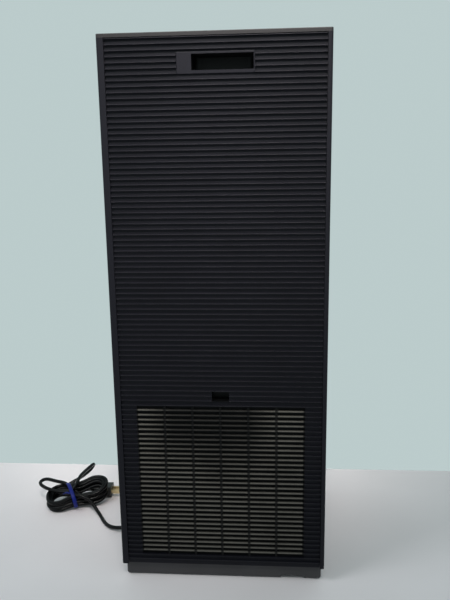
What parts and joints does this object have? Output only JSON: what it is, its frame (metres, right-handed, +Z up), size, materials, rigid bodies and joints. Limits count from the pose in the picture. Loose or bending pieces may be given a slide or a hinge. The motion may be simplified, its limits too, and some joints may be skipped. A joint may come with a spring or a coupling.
{
  "type": "tower air purifier",
  "caption": "Slim square tower air purifier with ribbed intake back, removable rear cover over a filter cartridge, fan, tilting top outlet flap, push buttons and a tied mains cord.",
  "frame": {"origin": "centre of the footprint on the floor, under the rubber feet", "axes": "+Z up, -Y towards the room (front), +Y out of the ribbed intake face, +X to the right as seen from the front"},
  "size_m": [0.4538, 0.2738, 0.695],
  "materials": {
    "shell": "fine matte texture",
    "plinth": "matte",
    "inner": "matte",
    "fan_plastic": "satin",
    "filter_card": "matte",
    "filter_media": "pleated fleece",
    "carbon": "granular",
    "mesh": "fine net",
    "tab": "ribbon",
    "foam": "soft foam",
    "rubber": "matte",
    "steel": "zinc plated",
    "motor_paint": "satin",
    "alloy": "cast",
    "board": "solder mask",
    "button": "satin",
    "lens": "smoked gloss",
    "cord": "smooth vinyl",
    "tie": "coated wire",
    "brass": "polished"
  },
  "bodies": {
    "housing": {"base_plinth": "plinth", "foot_pads": "rubber", "floor_pan": "inner", "plinth_screws": "steel", "side_panel_right": "shell", "side_panel_left": "shell", "front_panel": "shell", "rear_panel": "shell", "handle_cup": "shell", "top_cover": "shell", "indicator_lens": "lens", "outlet_grille": "inner", "outlet_duct": "inner", "front_bulkhead": "inner", "filter_housing": "inner", "filter_gasket": "foam", "cover_sockets": "inner", "scroll_front": "inner", "scroll_rear": "inner", "scroll_screws": "steel", "motor_bracket": "steel", "motor_grommets": "rubber", "motor_screws": "steel", "motor_end_cap": "alloy", "motor_case": "motor_paint", "motor_stator": "steel", "motor_bearings": "steel", "control_board": "board", "board_screws": "steel", "power_board": "board", "power_cover": "inner", "cord_clamp": "inner", "interlock_switch": "inner", "dust_sensor": "inner", "sensor_screen": "inner", "ioniser_unit": "filter_card", "cord_relief": "rubber", "cord_lead": "cord", "cord_hank": "cord", "cord_tie": "tie", "plug_body": "cord", "plug_blades": "brass"},
    "fan": {"motor_shaft": "steel", "motor_rotor": "steel", "fan_impeller": "fan_plastic", "impeller_nut": "brass"},
    "flap": {"outlet_flap": "shell", "flap_pins": "steel"},
    "power_key": {"power_button": "button"},
    "speed_key": {"speed_button": "button"},
    "mode_key": {"mode_button": "button"},
    "timer_key": {"timer_button": "button"},
    "cover": {"rear_cover": "shell", "pre_filter_frame": "inner", "pre_filter_mesh": "mesh"},
    "cartridge": {"hepa_frame": "filter_card", "hepa_pleats": "filter_media", "carbon_sheet": "carbon", "filter_tabs": "tab"}
  },
  "joints": [
    {"name": "fan_spin", "type": "hinge", "parent": "housing", "child": "fan", "pos_m": [0, 0, 0.372], "axis": [0, 1, 0], "continuous": true},
    {"name": "flap_tilt", "type": "hinge", "parent": "housing", "child": "flap", "pos_m": [0, 0.082, 0.6928], "axis": [-1, 0, 0], "range_deg": [0, 75]},
    {"name": "cover_pull", "type": "slide", "parent": "housing", "child": "cover", "axis": [0, 1, 0], "range_m": [0, 0.12]},
    {"name": "filter_pull", "type": "slide", "parent": "housing", "child": "cartridge", "axis": [0, 1, 0], "range_m": [0, 0.06]},
    {"name": "power_press", "type": "slide", "parent": "housing", "child": "power_key", "axis": [0, 0, -1], "range_m": [0, 0.0008], "stiffness_N_per_m": 1875},
    {"name": "speed_press", "type": "slide", "parent": "housing", "child": "speed_key", "axis": [0, 0, -1], "range_m": [0, 0.0008], "stiffness_N_per_m": 1875},
    {"name": "mode_press", "type": "slide", "parent": "housing", "child": "mode_key", "axis": [0, 0, -1], "range_m": [0, 0.0008], "stiffness_N_per_m": 1875},
    {"name": "timer_press", "type": "slide", "parent": "housing", "child": "timer_key", "axis": [0, 0, -1], "range_m": [0, 0.0008], "stiffness_N_per_m": 1875}
  ],
  "couplings": [
    {"joint": "filter_pull", "follows": "cover_pull", "ratio": 0.5}
  ]
}
